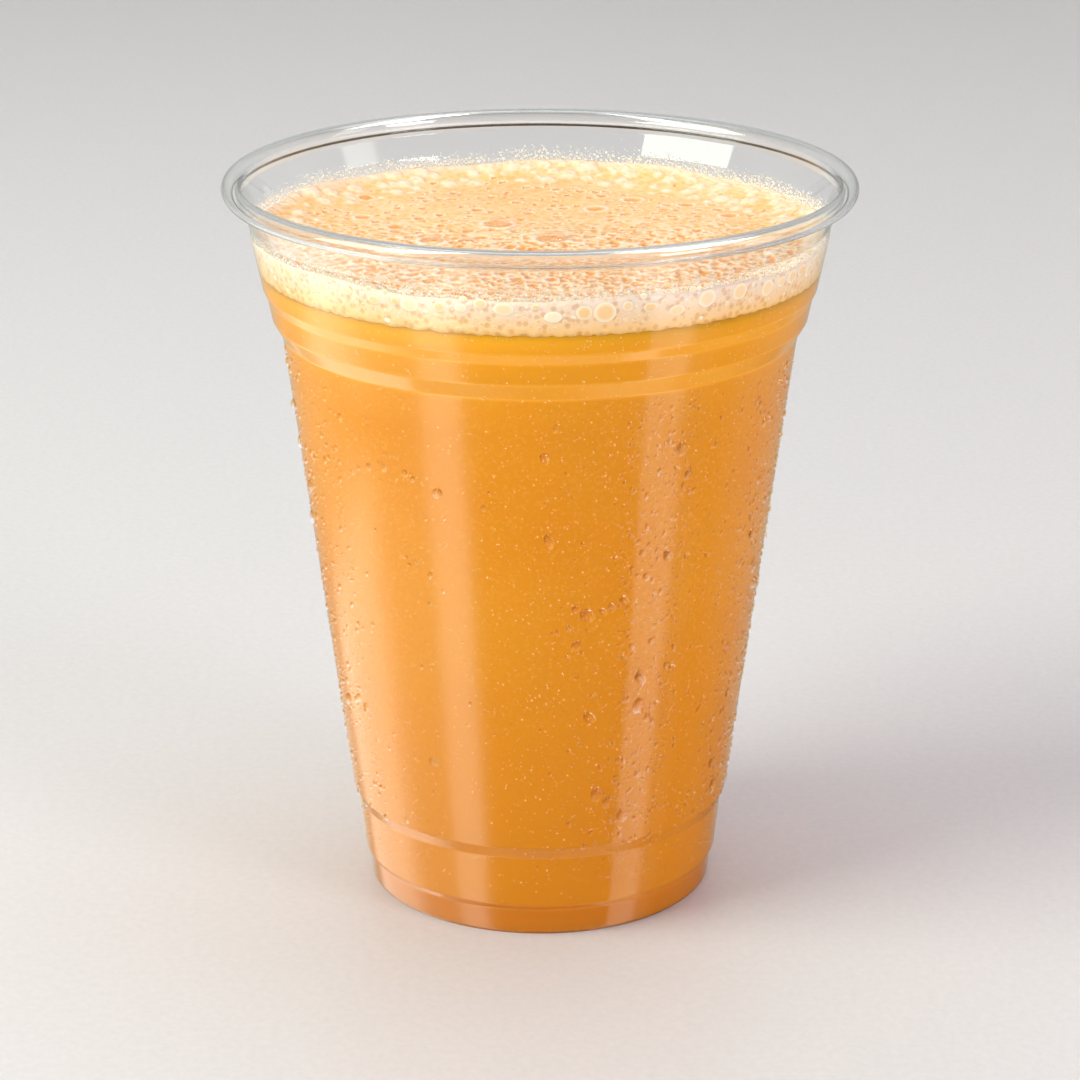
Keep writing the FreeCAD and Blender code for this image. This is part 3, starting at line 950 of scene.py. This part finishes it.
def make_floor():
    """A wide pale table top, which the gloss on the cup doesn't see: it sees the surround."""
    s = Shader("pale_table")
    grain = s.between(s.noise(700.0, 4.0, 0.7), 0.3, 0.7)
    colour = s.blend(grain, shade(197, 191, 195), shade(204, 198, 202))
    body = s.add("ShaderNodeBsdfPrincipled", Roughness=0.42)
    s.put(body.inputs["Base Color"], colour)
    s.put(body.inputs["Specular IOR Level"], 0.4)
    size = 6.0  # half its width in metres
    mesh = bpy.data.meshes.new("table")
    corners = [(-size, -size, 0), (size, -size, 0), (size, size, 0), (-size, size, 0)]
    mesh.from_pydata(corners, [], [(0, 1, 2, 3)])
    mesh.materials.append(s.finish(body.outputs[0]))
    floor = bpy.data.objects.new("table", mesh)
    bpy.context.scene.collection.objects.link(floor)
    floor.visible_glossy = False


def step_up(value, start, softness):
    """0 well below the start and 1 well above it, with a soft step between."""
    return 0.5 + 0.5 * np.tanh((value - start) / softness)


def window(value, low, high, low_soft, high_soft):
    """1 between low and high, falling softly to 0 outside them."""
    return step_up(value, low, low_soft) * (1 - step_up(value, high, high_soft))


# Soft bright strips that the gloss on the wall shows, low down: from and to, in degrees to the
# right of the front, how soft each side is, and how bright.
LOW_STRIPS = [
    (-58, -37, 5, 5, 2.3),
    (-142, -92, 7, 10, 1.8),
    (-110, -60, 14, 5, 0.7),
    (50, 71, 1.5, 3, 1.25),
    (60, 84, 4, 5, 0.2),
    (100, 178, 8, 6, 0.06),
    (-178, -150, 6, 6, 0.35),
]

# The same for the foot, which leans less, so that it sees a little higher.
FOOT_STRIPS = [
    (-49, -37, 1, 2, 1.1),
    (-130, -80, 9, 9, 0.22),
    (45, 60, 1, 1, 1.7),
    (64, 67, 0.7, 0.7, 1.2),
]

# Windows that drops, rim and froth show: from and to round the cup, from and to in height,
# and how bright, in degrees.
WINDOWS = [
    (56, 98, 40, 74, 34),
    (74, 90, -12, 30, 3.2),
    (-64, -46, 36, 72, 20),
    (-60, -44, -8, 28, 3.6),
    (100, 170, 50, 80, 2),
]
SURROUND_RADIUS = 2.2


def make_surround():
    """What gloss shows all round: a ball whose brightness is a sum of soft strips."""
    across, up = 361, 181
    azimuths = np.linspace(-180, 180, across)[:-1]
    azimuth, elevation = np.meshgrid(azimuths, np.linspace(-90, 90, up), indexing="xy")
    side = np.abs(azimuth)
    sky = step_up(elevation, 12, 12)
    left = 1 - step_up(azimuth, -20, 14)
    behind = window(elevation, -26, 90, 3, 1) * step_up(side, 100, 10)
    glow = 0.05 + 0.5 * sky + 0.08 * left + 0.35 * behind
    top = -30 + 0.045 * side  # where the wall's strips end and the foot's begin
    for strips, low, high in ((LOW_STRIPS, -58, top), (FOOT_STRIPS, top, top + 8)):
        for start, end, start_soft, end_soft, strength in strips:
            strip = window(azimuth, start, end, start_soft, end_soft)
            glow += strength * strip * window(elevation, low, high, 1, 1)
    crease = -49 + 0.07 * side  # a narrow line that the steps of the wall show
    thin = window(elevation, crease, crease + 5, 0.7, 0.7) * (1 - step_up(side, 62, 14))
    glow += window(elevation, -72, -57, 2, 2) * 0.5 + thin * 1.2
    for start, end, low, high, strength in WINDOWS:
        glow += strength * window(azimuth, start, end, 1, 1) * window(elevation, low, high, 1, 1)
    a, e = np.radians(azimuth), np.radians(elevation)
    way = np.stack([np.sin(a) * np.cos(e), -np.cos(a) * np.cos(e), np.sin(e)], -1)
    points = SURROUND_RADIUS * way.reshape(-1, 3)
    s = Shader("surround")
    light = s.add("ShaderNodeEmission", Strength=s.attribute("glow"))
    s.put(light.inputs["Color"], (0.97, 1.0, 0.9, 1.0))
    material = s.finish(light.outputs[0])
    material.cycles.emission_sampling = "NONE"
    mesh = bpy.data.meshes.new("surround")
    mesh.from_pydata(points.tolist(), [], grid_faces(up, across - 1).tolist())
    mesh.materials.append(material)
    ball = bpy.data.objects.new("surround", mesh)
    bpy.context.scene.collection.objects.link(ball)
    add_attribute(ball, "glow", glow.ravel())
    ball.visible_camera = False
    ball.visible_diffuse = False
    ball.visible_transmission = False
    ball.visible_shadow = False
    ball.visible_volume_scatter = False


def make_panel(name, azimuth, elevation, distance, width, height, power, colour=(1, 1, 1)):
    """A square soft light that faces the middle of the cup; azimuth 0 is at the camera's side."""
    lamp = bpy.data.lights.new(name, "AREA")
    lamp.shape = "RECTANGLE"
    lamp.size = width
    lamp.size_y = height
    lamp.energy = power
    lamp.color = colour
    panel = bpy.data.objects.new(name, lamp)
    a, e = np.radians([azimuth, elevation])
    way = Vector((np.sin(a) * np.cos(e), -np.cos(a) * np.cos(e), np.sin(e)))
    panel.location = Vector((0, 0, 0.055)) + way * distance
    panel.rotation_euler = way.to_track_quat("Z", "Y").to_euler()
    panel.visible_camera = False
    panel.visible_glossy = False
    bpy.context.scene.collection.objects.link(panel)


def make_lights():
    """A large key at the left, a weaker fill at the right and a soft light overhead."""
    make_panel("key", -68, 32, 1.1, 0.7, 0.8, 15.4, colour=(0.9, 1.0, 0.84))
    make_panel("fill", 52, 14, 1.2, 0.4, 0.6, 7.3, colour=(0.97, 0.98, 1.0))
    make_panel("top", 170, 74, 1.0, 0.9, 0.7, 4.0)
    world = bpy.data.worlds.new("studio")
    world.use_nodes = True
    background = world.node_tree.nodes["Background"]
    background.inputs["Color"].default_value = (0.95, 0.96, 1.0, 1.0)
    background.inputs["Strength"].default_value = 0.45
    bpy.context.scene.world = world


def make_camera():
    """A long lens, level with the upper third of the view and looking down a little."""
    lens = bpy.data.cameras.new("camera")
    lens.lens = 113.5
    lens.sensor_width = 36.0
    camera = bpy.data.objects.new("camera", lens)
    camera.location = (0.0, -0.513, 0.2358)
    camera.rotation_euler = (np.radians(90.0 - 19.29), 0.0, 0.0)
    bpy.context.scene.collection.objects.link(camera)
    bpy.context.scene.camera = camera


# ------------------------------------------------------------------ the whole

bpy.context.scene.view_settings.view_transform = "Standard"
WATER = water()
make_camera()
make_floor()
make_lights()
make_surround()
make_cup()
make_juice()
make_froth(froth_bubbles())
make_wall_bubbles()
make_whole_bubbles()
make_lacing()
make_specks()
make_condensation()
